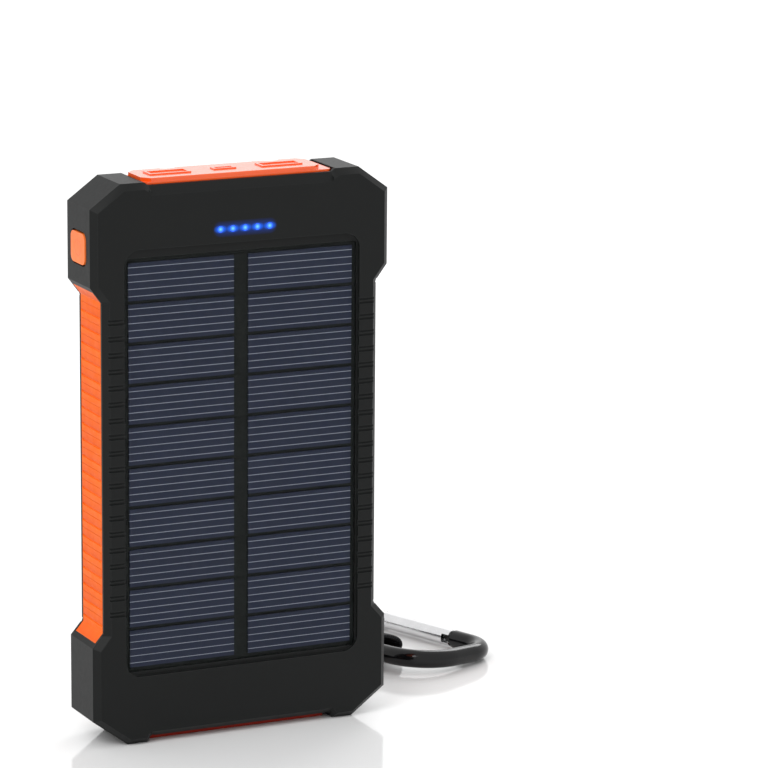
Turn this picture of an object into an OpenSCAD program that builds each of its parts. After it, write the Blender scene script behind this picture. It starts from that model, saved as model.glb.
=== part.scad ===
// Pocket solar charger standing on its feet, with a compass key chain.
// +Z is up, the solar panel faces -Y, the power button is on the -X side.
// The origin is the centre of the underside. Units are millimetres.

/* [Body] */
// Height of the case over its feet and corner bumpers
body_h = 142; // [135:1:150]
// Width over the corner bumpers
body_w = 80; // [76:1:84]
// Thickness between the front and back faces
body_t = 18; // [17:0.5:20]
// Width at the waist, between the corner bumpers
waist_w = 74; // [72:0.5:76]
// Flat thickness of the side walls, between the face bevels
side_t = 14.6; // [13.8:0.1:15.4]
// How far the face bevel runs in from the outline
bevel_in = 1.5; // [1:0.1:2]

/* [Solar panel] */
// Rows of solar cells
cell_rows = 10; // [6:1:12]
// Width of the two columns of cells together
cells_w = 60.2; // [56:0.2:61]
// Height of all the rows together
cells_h = 102.4; // [96:0.2:104]
// Gap between the two columns
column_gap = 3.9; // [2:0.1:6]
// Gap between two rows
row_gap = 0.9; // [0.4:0.1:1.5]

/* [Grips and ribs] */
// Spacing of the ribs on the grips and faces
rib_pitch = 4.1; // [3.5:0.1:5]
// Ribs on each face beside the panel
rib_count = 19; // [12:1:19]
// Depth of the grooves above and below each rib on the faces
rib_depth = 0.5; // [0.2:0.1:0.6]
// Depth of the deep groove under each rib on the grips
grip_rib_depth = 0.3; // [0.2:0.1:0.5]

/* [Controls and ports] */
// Width of the power button along Y
button_w = 9; // [7:0.5:10]
// Height of the power button along Z
button_h = 7.7; // [6:0.1:8.5]
// Travel of the power button
button_travel = 0.5; // [0.2:0.1:0.5]
// Distance from the middle to the centre of each large port
port_x = 16.5; // [15:0.5:17]
// Number of charge level lights
light_count = 5; // [3:1:5]
// Spacing of the charge level lights
light_pitch = 3.3; // [3:0.1:3.5]

/* [Key chain] */
// Angle of the key chain from +X, seen from above
chain_turn = 20; // [20:1:40]
// Width of the short strap
strap_w = 10; // [8:1:10]
// Diameter of the wire of the D ring
ring_wire = 2.2; // [1.8:0.1:2.4]
// Side of the square compass plate
plate_side = 25; // [24:1:26]
// Width of the webbing between the compass and the hook
webbing_w = 20; // [16:1:22]
// Length of the snap hook
hook_l = 60; // [54:1:64]
// Diameter of the rod of the snap hook
hook_rod = 4.8; // [4:0.1:5]

/* [Hidden] */

$fn = 48;
eps = 0.01;      // overlap that makes a cut pass cleanly through a face
margin = 1;      // how far a cutting tool reaches outside the part

face_y = body_t / 2;
half_w = body_w / 2;
waist_x = waist_w / 2;
bevel_deep = face_y - side_t / 2;

// Heights on the outline, measured from the feet
bumper_top_z = body_h - 5.8;
bumper_low_z = body_h - 25.2;
waist_top_z = body_h - 29.2;
waist_low_z = 29.3;
foot_top_z = 25.8;
foot_low_z = 6.8;
lip_z = body_h - 0.8;       // top edge of the wall in front of the port cover
lip_bevel_in = 2.3;
belly_z = 1.5;              // underside of the shells between the feet

// Half widths on the outline
bumper_x = 32;
bumper_inner_x = 25.7;
lip_x = 24.5;
foot_outer_x = 30.9;
foot_inner_x = 25.4;

// Inside of the case
cavity_x = 34.4;
cavity_low_z = 4.2;
cavity_top_z = body_h - 4.8;
cavity_cut = 6;
front_wall_y = -4.8;        // inner face of the front wall
rail_x = 25;                // inner edge of the raised rails on the back
back_step = 0.8;            // depth of the back panel between the rails
back_panel_y = face_y - back_step;
back_wall_y = back_panel_y - 1.4;
seal_top_z = 118;

// Solar panel
panel_z = 71.1;
panel_side_frame = 1.6;     // frame width beside the cells
panel_low_frame = 2.3;      // frame width below the cells
panel_top_frame = 3.4;      // frame width above the cells
frame_r = 4;
cell_face_y = -8;
film_t = 0.3;
film_gap = 0.05;
cell_t = 0.3;
cell_low_y = cell_face_y + film_t + film_gap;
board_back_y = -6;
board_border = 1.2;
board_r = 1;
board_w = cells_w + 2 * board_border;
board_h = cells_h + 2 * board_border;
panel_lead_z = 108;         // where the panel's wires go through the front wall
panel_lead_x = 0.9;

// Grips
grip_y = 6.6;
grip_gap = 0.15;
grip_inner_x = 35.8;
grip_low_z = 26.9;
grip_top_z = body_h - 26.5;

// Ribs, each between two grooves
rib_low_z = 33.85;          // middle of the lowest groove on a face
rib_h = 0.95;               // from the lower groove to the upper one on a face
rib_sink = 0.2;             // how far a rib on a face lies below the face
grip_rib_low_z = 31;
grip_rib_h = 2.2;
groove_w = 0.55;
fine_groove_w = 0.25;

// Port cover pocket and ports
pocket_x = 25.6;
pocket_y = 6.3;
pocket_z = body_h - 2.1;
cover_top_z = body_h + 1;
cover_hinge_x = 25.2;
port_w = 13.2;
port_t = 5.8;
port_wall = 0.35;
port_depth = 13.9;
port_top_z = pocket_z - 0.3;
port_low_z = port_top_z - port_depth;
port_floor = 0.4;
port_flange = 0.6;
port_gap = 0.1;
main_board_y = port_t / 2;
main_board_t = 1;
board_low_z = 114;
board_top_z = 136.6;
chip_low_z = board_low_z + 1.4;

// Battery cell, a flat pouch between foam pads
cell_w = 62;
cell_h = 78;
cell_front_y = -4;
cell_back_y = 6;
cell_top_z = 110.4;
pad_half_w = 26;
pad_h = 6;

// Seal, a cord in a groove of both shells
seal_half_t = 0.5;
seal_w = 0.6;
seal_half_w = 35.4;
seal_low_z = 3.2;
seal_corner_x = 31;
seal_corner_z = 9.6;

// Bottom bumper
bumper_half_l = foot_inner_x - 1.4;
bottom_half_w = 5;
bottom_top_z = cavity_low_z - 1.2;

// Power button and lights
button_z = 125.7;
button_gap = 0.45;
button_flange = 0.9;
button_step_x = half_w - 2.8;   // shoulder that holds the button in
button_proud = 0.25;
button_r = 1.7;
switch_x = -cavity_x + 0.5;     // end of the switch's plunger
light_z = 129.2;
light_x = 0.5;
light_r = 0.8;
light_board_y = -3.8;

// Torch and label
torch_w = 25;
torch_h = 17.4;
torch_r = 3.5;
torch_z = 121;
torch_board_y = 5;
torch_led_y = 5.8;
torch_lens_y = 7.5;
label_w = 32;
label_low_z = 29.2;
label_top_z = 102.3;
label_r = 4.5;
label_gap = 0.3;
label_deep = 0.5;

// Screws
screw_x = 29.8;
screw_low_z = 8.6;
screw_top_z = 133.8;
plug_d = 4.7;
screw_head_d = 4.2;
screw_d = 2;
screw_seat_y = 3.4;         // underside of the screw head
screw_head_t = 1.8;
plug_t = 1.8;

// Strap at the back
strap_x = 1.3;
strap_t = 1.6;
strap_gap = 0.3;
strap_hinge_y = back_panel_y + strap_gap + strap_t / 2;
strap_hinge_z = 27.2;
strap_skin = 0.9;
strap_bar_y = 4.7;          // bar inside the back that the strap's inner end goes round
strap_bar_z = 23.4;
strap_bar_r = 1;

// D ring, lying level
ring_r = 11.4;              // centre line of the round part
ring_bar_s = 3;             // straight bar's distance from the ring's centre
ring_corner = 1.8;          // bend between the round part and the bar
ring_z = 3.2;
ring_sag = 0.6;             // half the bow of the wire across the strap
loop_bore_r = ring_wire / 2 + ring_sag + 0.3;
loop_r = loop_bore_r + strap_skin;
loop_y = back_panel_y + strap_gap + loop_r;
ring_y = loop_y + ring_r - ring_sag;

// Compass, in the chain's frame: X along the chain from the ring's centre
backing_w = plate_side + 1.6;
bar_loop_w = 16.4;
bar_loop_bore_r = ring_wire / 2 + 0.1;
bar_loop_r = bar_loop_bore_r + 1.2;
backing_low_z = ring_z - bar_loop_r;
backing_near_s = ring_bar_s + bar_loop_bore_r + 0.5;
plate_low_z = ring_z + 0.6;
plate_t = 2.8;
plate_top_z = plate_low_z + plate_t;
plate_near_s = ring_bar_s + bar_loop_r + 0.3;
compass_s = plate_near_s + plate_side / 2;
plate_far_s = compass_s + plate_side / 2;
compass_r = 11;
compass_rim_in = 9.3;
compass_rim_h = 1.9;
dome_skirt_r = 9.2;
dome_wall = 0.7;
dome_rise = 2.6;
card_r = 7.7;
card_z = plate_top_z + 1.1;
card_t = 0.4;
pivot_r = 0.4;

// Webbing and snap hook, in the chain's frame
webbing_start_s = plate_far_s + 0.5;
webbing_split_s = plate_far_s + 5;
webbing_t = 1.2;
loop_reach = 8;             // how far the webbing's loop hangs past the spine
spine_s = plate_far_s + 23.4;
spine_z = 4;
hook_w = 32;
hook_r = hook_rod / 2;
hook_p = hook_w - hook_rod;             // centre line from the spine to the gate
hook_q = (hook_l - hook_rod) / 2;       // centre line from the middle to each end
spine_bend = 12;
gate_bend = 8;
hook_tilt = 3.2;                        // the gate side rests lower than the spine
gate_r = 2.2;
gate_pin_q = 13;
gate_end_q = -13.2;
gate_pin_r = 0.75;
tongue_t = 1.7;
tongue_r = 1.9;
spine_loop_bore_r = hook_r + 0.2;
spine_loop_r = spine_loop_bore_r + webbing_t;

// ---------- helpers ----------

// Extrude an outline drawn in X and Z from y_low to y_high
module slab(y_low, y_high) {
    translate([0, y_high, 0]) rotate([90, 0, 0]) linear_extrude(y_high - y_low) children();
}

// Box from its lowest corner to its highest corner
module span(low, high) {
    translate(low) cube(high - low);
}

// Rectangle with round corners, centred, made of circles and two bars
module round_rect(w, h, r) {
    square([w, h - 2 * r], center = true);
    square([w - 2 * r, h], center = true);
    for (sx = [-1, 1]) for (sy = [-1, 1]) {
        translate([sx * (w / 2 - r), sy * (h / 2 - r)]) circle(r);
    }
}

// Both mirror images of a shape across the middle plane
module both_sides() {
    children();
    mirror([1, 0, 0]) children();
}

// Place a shape at each of the four screws
module at_screws() {
    for (sx = [-1, 1]) for (z = [screw_low_z, screw_top_z]) translate([sx * screw_x, 0, z]) children();
}

// Cylinder along +Y from y_low to y_high
module y_rod(r, y_low, y_high) {
    translate([0, y_high, 0]) rotate([90, 0, 0]) cylinder(r = r, h = y_high - y_low);
}

// Cylinder along X, centred
module x_rod(r, l) {
    rotate([0, 90, 0]) cylinder(r = r, h = l, center = true);
}

// ---------- outline and bevels ----------

// Right half of the outline, from the belly up to the lip
right_side = [
    [foot_inner_x - 1, belly_z], [foot_inner_x, 0], [foot_outer_x, 0], [half_w, foot_low_z],
    [half_w, foot_top_z], [waist_x, waist_low_z], [waist_x, waist_top_z], [half_w, bumper_low_z],
    [half_w, bumper_top_z], [bumper_x, body_h], [bumper_inner_x, body_h], [lip_x, lip_z]
];
side_points = len(right_side);
outline = [
    for (i = [0:2 * side_points - 1])
        i < side_points ? right_side[i]
        : [-right_side[2 * side_points - 1 - i].x, right_side[2 * side_points - 1 - i].y]
];
// Positive where the outline turns outward at point i of the right half
function turn_at(i) = cross(
    right_side[i] - (i > 0 ? right_side[i - 1] : [0, belly_z]),
    (i < side_points - 1 ? right_side[i + 1] : [0, lip_z]) - right_side[i]
);
function bevel_reach(i) = turn_at(i) > 0 ? 3 : bevel_in / 3;

// Wedge that bevels the front face along the edge from a to b
module edge_bevel(a, b, inset, before, after) {
    run = b - a;
    edge_l = norm(run);
    way = run / edge_l;
    end = b + way * after;
    slope = bevel_deep / inset;
    translate([end.x, -face_y, end.y]) rotate([0, -atan2(way.y, way.x) - 90, 0])
        linear_extrude(edge_l + before + after)
            polygon([
                [-margin, -margin],
                [inset + margin / slope, -margin],
                [-margin, bevel_deep + margin * slope]
            ]);
}

// Every bevel of the front face
module face_bevels() {
    belly_x = foot_inner_x - 1;
    both_sides() for (i = [0:side_points - 2])
        edge_bevel(right_side[i], right_side[i + 1], bevel_in, bevel_reach(i), bevel_reach(i + 1));
    edge_bevel([-belly_x, belly_z], [belly_x, belly_z], bevel_in, bevel_reach(0), bevel_reach(0));
    edge_bevel([lip_x, lip_z], [-lip_x, lip_z], lip_bevel_in, 0, 0);
}

// ---------- shells ----------

module cavity_outline() {
    wide = cavity_x;
    near = cavity_x - cavity_cut;
    polygon([
        [-near, cavity_low_z], [near, cavity_low_z],
        [wide, cavity_low_z + cavity_cut], [wide, cavity_top_z - cavity_cut],
        [near, cavity_top_z], [-near, cavity_top_z],
        [-wide, cavity_top_z - cavity_cut], [-wide, cavity_low_z + cavity_cut]
    ]);
}

// Everything that is cut from both shells, whichever half it falls in
module shared_cuts() {
    // pocket of the port cover and the holes for the ports
    span([-pocket_x, -pocket_y, pocket_z], [pocket_x, pocket_y, body_h + margin]);
    for (sx = [-1, 1]) translate([sx * port_x, 0, pocket_z])
        cube([port_w + 1.5, port_t + 1.4, 8], center = true);
    translate([0, 1, pocket_z]) cube([8.4, 3.6, 8], center = true);
    // channels of the side grips
    both_sides() span([grip_inner_x, -grip_y, grip_low_z], [half_w + margin, grip_y, grip_top_z]);
    // pocket of the bottom bumper
    span([-bumper_half_l, -bottom_half_w, -margin], [bumper_half_l, bottom_half_w, bottom_top_z]);
    // stepped hole of the power button
    grow = 2 * button_gap;
    flange_w = button_w + 2 * button_flange;
    flange_h = button_h + 2 * button_flange;
    button_block(button_w + grow, button_h + grow, -half_w - margin, -button_step_x, button_r + button_gap);
    button_block(flange_w + grow, flange_h + grow, -button_step_x - eps, -cavity_x + eps,
                 button_r + button_gap);
}

// Sunk ribs on the front face with a deep groove above and below, from x_low to x_high on both sides
module face_ribs(x_low, x_high) {
    both_sides() for (i = [0:rib_count - 1]) {
        z = rib_low_z + i * rib_pitch;
        face_groove(x_low, x_high, z, groove_w, rib_depth);
        face_groove(x_low, x_high, z + rib_h, groove_w, rib_depth);
        face_groove(x_low, x_high, z + rib_h / 2, rib_h, rib_sink);
    }
}

// One groove in the front face, w wide about the height z
module face_groove(x_low, x_high, z, w, depth) {
    span([x_low, -face_y - margin, z - w / 2], [x_high, -face_y + depth, z + w / 2]);
}

module front_shell() {
    frame_w = cells_w + 2 * panel_side_frame;
    frame_h = cells_h + panel_low_frame + panel_top_frame;
    frame_z = panel_z + (panel_top_frame - panel_low_frame) / 2;
    color("#2c2c2c") difference() {
        union() {
            difference() {
                slab(-face_y, 0) polygon(outline);
                face_bevels();
                slab(front_wall_y, margin) cavity_outline();
            }
            // screw posts
            at_screws() y_rod(3.2, front_wall_y - 1, 0);
        }
        shared_cuts();
        // recess round the panel, and the pocket that holds its board
        translate([0, 0, frame_z]) slab(-face_y - margin, cell_face_y) round_rect(frame_w, frame_h, frame_r);
        translate([0, 0, panel_z]) slab(cell_face_y - eps, board_back_y)
            round_rect(board_w, board_h, board_r);
        // hole for the panel's leads
        translate([0, 0, panel_lead_z]) y_rod(2, board_back_y - margin, front_wall_y + margin);
        for (i = [0:light_count - 1]) translate([light_place(i), 0, light_z])
            y_rod(light_r, -face_y - margin, front_wall_y + margin);
        at_screws() y_rod(screw_d / 2, front_wall_y, margin);
        face_ribs(cells_w / 2 + panel_side_frame - 0.2, waist_x - bevel_in + 0.4);
        // groove of the seal
        slab(-seal_half_t, margin) seal_outline();
    }
}

module back_shell() {
    color("#2b2b2b") difference() {
        union() {
            difference() {
                slab(0, face_y) polygon(outline);
                mirror([0, 1, 0]) face_bevels();
                slab(-margin, back_wall_y) cavity_outline();
                // back panel between the raised rails
                span([-rail_x, back_panel_y, -margin], [rail_x, face_y + margin, body_h + margin]);
            }
            at_screws() y_rod(3.6, 0, back_wall_y + eps);
            strap_lugs();
        }
        shared_cuts();
        at_screws() y_rod(screw_d / 2 + 0.2, -margin, face_y + margin);
        at_screws() y_rod(plug_d / 2, screw_seat_y, face_y + margin);
        mirror([0, 1, 0]) face_ribs(rail_x + 0.8, waist_x - bevel_in + 0.4);
        // window of the torch
        translate([0, 0, torch_z]) slab(back_wall_y - margin, face_y + margin)
            round_rect(torch_w, torch_h, torch_r);
        // shallow pocket of the label
        translate([0, 0, (label_low_z + label_top_z) / 2]) slab(back_panel_y - label_deep, face_y + margin)
            round_rect(label_w + 2 * label_gap, label_top_z - label_low_z + 2 * label_gap,
                       label_r + label_gap);
        // slot of the strap
        span([strap_x - strap_w / 2 - 0.3, back_wall_y - margin, strap_hinge_z - 1],
             [strap_x + strap_w / 2 + 0.3, face_y, strap_hinge_z + 1]);
        slab(-margin, seal_half_t) seal_outline();
    }
}

// Lugs inside the back that carry the strap's bar
module strap_lugs() {
    lug_t = 2;
    lug_half_h = 2.2;
    lug_low_y = strap_bar_y - lug_half_h;
    for (s = [-1, 1]) difference() {
        translate([strap_x + s * (strap_w / 2 + 2) - lug_t / 2, lug_low_y, strap_bar_z - lug_half_h])
            cube([lug_t, back_wall_y + 0.2 - lug_low_y, 2 * lug_half_h]);
        translate([strap_x + s * (strap_w / 2 + 2), strap_bar_y, strap_bar_z]) x_rod(strap_bar_r, lug_t + 1);
    }
}

// Run of the seal: up both sides from below, clear of the ports and the button
module seal_outline() {
    difference() {
        seal_loop(0, 0);
        seal_loop(seal_w, margin);
    }
}

// Area inside the seal, drawn in by inset, with its open top raised by extra
module seal_loop(inset, extra) {
    wide = seal_half_w - inset;
    near = seal_corner_x - inset * 2 / 3;
    corner_z = seal_corner_z + inset / 2;
    top_z = seal_top_z + extra;
    polygon([
        [-near, seal_low_z + inset], [near, seal_low_z + inset], [wide, corner_z], [wide, top_z],
        [-wide, top_z], [-wide, corner_z]
    ]);
}

// Rubber cord in the joint between the two shells
module shell_seal() {
    color("#202020") slab(-seal_half_t, seal_half_t) seal_outline();
}

// ---------- outer trim ----------

// Ribbed rubber grip, drawn for the +X side
module grip() {
    ribs = floor((waist_top_z - grip_rib_low_z - grip_rib_h) / rib_pitch);
    difference() {
        slab(-grip_y + grip_gap, grip_y - grip_gap) polygon([
            [grip_inner_x, grip_low_z], [half_w - 1, grip_low_z], [waist_x, waist_low_z],
            [waist_x, waist_top_z], [half_w - 1, grip_top_z], [grip_inner_x, grip_top_z]
        ]);
        for (i = [0:ribs]) {
            z = grip_rib_low_z + i * rib_pitch;
            grip_groove(z, groove_w, grip_rib_depth);
            grip_groove(z + grip_rib_h, fine_groove_w, grip_rib_depth / 2);
        }
    }
}

// One groove across the grip, w wide about the height z, ending short of both edges
module grip_groove(z, w, depth) {
    span([waist_x - depth, -grip_y + 0.6, z - w / 2], [half_w, grip_y - 0.6, z + w / 2]);
}

module right_grip() {
    color("#ff7a3c") grip();
}

module left_grip() {
    color("#ff7a3c") mirror([1, 0, 0]) grip();
}

module bottom_bumper() {
    color("#e8501e") span([-bumper_half_l, -bottom_half_w, 0], [bumper_half_l, bottom_half_w, bottom_top_z]);
}

module screw_plugs() {
    color("#ff7a3c") at_screws() y_rod(plug_d / 2, face_y - plug_t, face_y);
}

module screws() {
    head_top_y = screw_seat_y + screw_head_t;
    color("silver") at_screws() difference() {
        union() {
            y_rod(screw_head_d / 2, screw_seat_y, head_top_y);
            y_rod(screw_d / 2, front_wall_y + 0.2, screw_seat_y + eps);
        }
        // cross recess
        for (turn = [0, 90]) rotate([0, turn, 0]) translate([0, head_top_y, 0])
            cube([2.4, 1.6, 0.6], center = true);
    }
}

// ---------- solar panel ----------

module solar_board() {
    color("#15151c") translate([0, 0, panel_z]) slab(cell_low_y + cell_t, board_back_y)
        round_rect(board_w, board_h, board_r);
}

// One thin plate for each cell
module solar_cells() {
    row_pitch = (cells_h + row_gap) / cell_rows;
    row_h = row_pitch - row_gap;
    color("#2c3046") both_sides() for (i = [0:cell_rows - 1]) {
        z = panel_z - cells_h / 2 + i * row_pitch;
        span([column_gap / 2, cell_low_y, z], [cells_w / 2, cell_low_y + cell_t, z + row_h]);
    }
}

module solar_film() {
    color("#8090a8", 0.3) translate([0, 0, panel_z]) slab(cell_face_y, cell_face_y + film_t)
        round_rect(board_w - 4 * film_gap, board_h - 4 * film_gap, board_r);
}

// ---------- charge lights ----------

function light_place(i) = light_x + (i - (light_count - 1) / 2) * light_pitch;

module light_pipes() {
    color("#3a6cff") for (i = [0:light_count - 1]) translate([light_place(i), 0, light_z])
        y_rod(light_r, -face_y, front_wall_y + 0.2);
}

module charge_lights() {
    color("white") for (i = [0:light_count - 1])
        span([light_place(i) - 0.8, front_wall_y + 0.3, light_z - 0.5],
             [light_place(i) + 0.8, light_board_y, light_z + 0.5]);
}

module light_board() {
    reach = (light_count - 1) / 2 * light_pitch + 1.6;
    half_h = 3;
    thick = 0.8;
    color("#1d4a2e") span([light_x - reach, light_board_y, light_z - half_h],
                          [light_x + reach, light_board_y + thick, light_z + half_h]);
}

// ---------- electronics ----------

module main_board() {
    half_l = 25.6;
    button_end_x = -33.6;       // arm of the board that carries the switch
    arm_top_z = 129.6;
    hole_x = 22;
    hole_r = 1.2;
    color("#1d4a2e") difference() {
        slab(main_board_y, main_board_y + main_board_t) polygon([
            [button_end_x, board_low_z], [half_l, board_low_z], [half_l, board_top_z],
            [-half_l, board_top_z], [-half_l, arm_top_z], [button_end_x, arm_top_z]
        ]);
        for (x = [-hole_x, hole_x]) translate([x, 0, board_low_z + 3]) y_rod(hole_r, 0, 2 * main_board_y);
    }
}

// Coil, control chips and capacitors on the main board
module board_components() {
    color("#3a3a3a") {
        board_part(-4, 8, 8, 3.7);
        for (x = [-20, 12]) board_part(x, 6, 5, 1.2);
        for (x = [-10, 7, 9.4]) board_part(x, 1.6, 3.2, 1);
    }
}

// Block on the front of the main board, w wide from x, h high and t thick
module board_part(x, w, h, t) {
    span([x, main_board_y - t, chip_low_z], [x + w, main_board_y, chip_low_z + h]);
}

// Metal shell of a large charging port, mouth up
module usb_port(x) {
    half_l = port_w / 2;
    half_t = port_t / 2;
    color("silver") translate([x, 0, 0]) difference() {
        union() {
            span([-half_l, -half_t, port_low_z], [half_l, half_t, port_top_z]);
            // flange round the mouth
            span([-half_l - port_flange, -half_t - port_flange, port_top_z - 0.4],
                 [half_l + port_flange, half_t + port_flange, port_top_z]);
        }
        span([-half_l + port_wall, -half_t + port_wall, port_low_z + port_floor],
             [half_l - port_wall, half_t - port_wall, port_top_z + margin]);
    }
}

module usb_port_left() {
    usb_port(-port_x);
}

module usb_port_right() {
    usb_port(port_x);
}

// Plastic contact tongue and its base inside each large port
module usb_tongues() {
    base_low_z = port_low_z + port_floor;
    base_top_z = base_low_z + 3;
    tongue_half_l = 5.55;
    color("#2060a0") for (sx = [-1, 1]) translate([sx * port_x, 0, 0]) {
        span([-port_w / 2 + 0.4, -port_t / 2 + 0.4, base_low_z],
             [port_w / 2 - 0.4, port_t / 2 - 0.4, base_top_z]);
        span([-tongue_half_l, 0.3, base_top_z - eps], [tongue_half_l, 2.1, port_top_z - 1.9]);
    }
}

module micro_usb_port() {
    half_l = 3.9;
    low = [-half_l, -0.1, port_top_z - 5.4];
    high = [half_l, 2.7, port_top_z];
    wall = [port_floor, port_floor, port_floor];
    color("silver") difference() {
        span(low, high);
        span(low + wall, high + [-port_floor, -port_floor, margin]);
    }
}

module button_switch() {
    plunger_l = 1.2;
    half = 3;
    body_x = switch_x + plunger_l - 0.1;
    color("#b8b8b8") {
        span([body_x, 0.2 - half, button_z - half], [body_x + half, main_board_y, button_z + half]);
        translate([switch_x + plunger_l / 2 + eps, 0, button_z]) x_rod(1.2, plunger_l);
    }
}

module battery_cell() {
    color("#b9c4cc") translate([0, 0, cell_top_z - cell_h / 2]) slab(cell_front_y, cell_back_y)
        round_rect(cell_w, cell_h, 2.5);
}

module foam_pads() {
    color("#505050") for (z = [cell_top_z - 66.4, cell_top_z - 12.4]) {
        span([-pad_half_w, front_wall_y, z], [pad_half_w, cell_front_y, z + pad_h]);
        span([-pad_half_w, cell_back_y, z], [pad_half_w, back_wall_y, z + pad_h]);
    }
}

// Two insulated wires from the cell to the board
module battery_leads() {
    for (x = [-6, -2]) color(x < -4 ? "red" : "#202020") translate([x, 1.4, cell_top_z])
        cylinder(r = 0.7, h = chip_low_z - cell_top_z);
}

// Two wires through the front wall from the panel to the board
module solar_leads() {
    color("#202020") for (x = [-panel_lead_x, panel_lead_x]) {
        translate([x, 0, panel_lead_z]) y_rod(0.6, board_back_y, cell_front_y - 0.2);
    }
}

// ---------- torch ----------

module torch_board() {
    half_l = 13;
    half_h = 9;
    color("white") span([-half_l, torch_board_y, torch_z - half_h], [half_l, torch_led_y, torch_z + half_h]);
}

module torch_leds() {
    half_l = 1.4;
    half_h = 1.7;
    color("#ffe9a0") for (x = [-5.5, 0, 5.5]) for (z = [torch_z - 2.6, torch_z + 2.6])
        span([x - half_l, torch_led_y, z - half_h], [x + half_l, torch_led_y + 0.7, z + half_h]);
}

// Bright frame that throws the light out, with four sloping walls
module torch_reflector() {
    color("#e8e8e8") translate([0, 0, torch_z]) difference() {
        union() {
            slab(torch_led_y, back_wall_y) square([torch_w + 3, torch_h + 2.6], center = true);
            slab(back_wall_y - eps, torch_lens_y) round_rect(torch_w - 0.2, torch_h - 0.2, torch_r - 0.1);
        }
        hull() {
            slab(torch_led_y - 0.1, torch_led_y) square([torch_w - 8, torch_h - 7], center = true);
            slab(torch_lens_y, torch_lens_y + 0.1) square([torch_w - 1.6, torch_h - 1.8], center = true);
        }
    }
}

module torch_lens() {
    color("#f4f8ff") translate([0, 0, torch_z]) {
        step_y = face_y - 0.3;
        slab(torch_lens_y, step_y) round_rect(torch_w, torch_h, torch_r);
        slab(step_y - eps, face_y) round_rect(torch_w - 1.2, torch_h - 1.2, torch_r - 0.6);
    }
}

// ---------- label and strap anchor ----------

module rating_label() {
    color("#242424") translate([0, 0, (label_low_z + label_top_z) / 2])
        slab(back_panel_y - label_deep, back_panel_y - 0.05)
            round_rect(label_w, label_top_z - label_low_z, label_r);
}

module strap_bar() {
    color("silver") translate([strap_x, strap_bar_y, strap_bar_z]) x_rod(strap_bar_r, strap_w + 6);
}

// Inner end of the strap: round the bar and out to the mouth of the slot
module strap_root() {
    color("#3a3a3a") translate([strap_x + strap_w / 2, 0, 0]) rotate([90, 0, -90]) linear_extrude(strap_w)
        difference() {
            outer_r = strap_bar_r + strap_skin;
            wall_y = back_wall_y - 0.1;
            mouth_y = back_panel_y + 0.1;
            high_z = strap_hinge_z + strap_t / 2;
            low_z = strap_hinge_z - strap_t / 2;
            union() {
                translate([-strap_bar_y, strap_bar_z]) circle(outer_r);
                polygon([
                    [-strap_bar_y + outer_r, strap_bar_z], [-strap_bar_y - 0.2, strap_bar_z + 3],
                    [-wall_y, high_z], [-mouth_y, high_z], [-mouth_y, low_z], [-wall_y, low_z],
                    [-strap_bar_y - outer_r, strap_bar_z]
                ]);
            }
            translate([-strap_bar_y, strap_bar_z]) circle(strap_bar_r);
        }
}

// ---------- moving controls ----------

// Button cap with a retaining flange and a stem that meets the switch
module power_button() {
    flange_low_x = -button_step_x + 0.1;
    flange_high_x = flange_low_x + 1;
    color("#ff8a50") {
        button_block(button_w, button_h, -half_w - button_proud, flange_low_x + eps, button_r);
        button_block(button_w + 2 * button_flange, button_h + 2 * button_flange, flange_low_x,
                     flange_high_x, button_r);
        translate([flange_high_x - eps, 0, button_z]) rotate([0, 90, 0])
            cylinder(r = 1.5, h = -cavity_x - 0.1 - flange_high_x);
    }
}

// Upright rounded block along X at the button's height
module button_block(w, h, x_low, x_high, r) {
    translate([x_low, 0, button_z]) rotate([90, 0, 90]) linear_extrude(x_high - x_low) round_rect(w, h, r);
}

// Outline of the cover's raised lid, with cut corners
module lid_outline(x_low, x_high, half_y, cut) {
    polygon([
        [x_low + cut, -half_y], [x_high - cut, -half_y], [x_high, -half_y + cut], [x_high, half_y - cut],
        [x_high - cut, half_y], [x_low + cut, half_y], [x_low, half_y - cut], [x_low, -half_y + cut]
    ]);
}

// Rubber cover over the ports, hinged at its +X end
module usb_cover() {
    flange_z = pocket_z + 0.3;
    lid_z = cover_top_z - 1.3;
    mark_h = 0.3;
    plug_half_l = 5.8;
    plug_half_t = 2.1;
    color("#ff5a1c") {
        difference() {
            union() {
                translate([0, 0, flange_z]) linear_extrude(lid_z - flange_z)
                    lid_outline(-cover_hinge_x, cover_hinge_x, pocket_y - 0.2, 0.8);
                translate([0, 0, lid_z - eps]) linear_extrude(cover_top_z - mark_h - lid_z)
                    lid_outline(-cover_hinge_x, cover_hinge_x - 2.6, pocket_y - 0.3, 2);
            }
            // finger notches on the back edge
            for (x = [-14, 14]) translate([x, pocket_y + 1.4, lid_z]) cylinder(r = 2.8, h = 3);
        }
        // raised port marks
        for (x = [-port_x, port_x - 3]) port_mark(x, 11, 4.6);
        port_mark(-1.5, 6, 2.6);
        // plugs that seal the large ports
        for (sx = [-1, 1]) translate([sx * port_x, 0, 0])
            span([-plug_half_l, -plug_half_t, port_top_z - 1.5], [plug_half_l, plug_half_t, flange_z + eps]);
    }
}

// Raised outline of one port on top of the cover
module port_mark(x, w, t) {
    line = 0.7;
    mark_z = cover_top_z - 0.3 - 2 * eps;
    translate([x, 0, mark_z]) linear_extrude(0.3) difference() {
        square([w, t], center = true);
        square([w - 2 * line, t - 2 * line], center = true);
    }
}

// ---------- strap and D ring ----------

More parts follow.
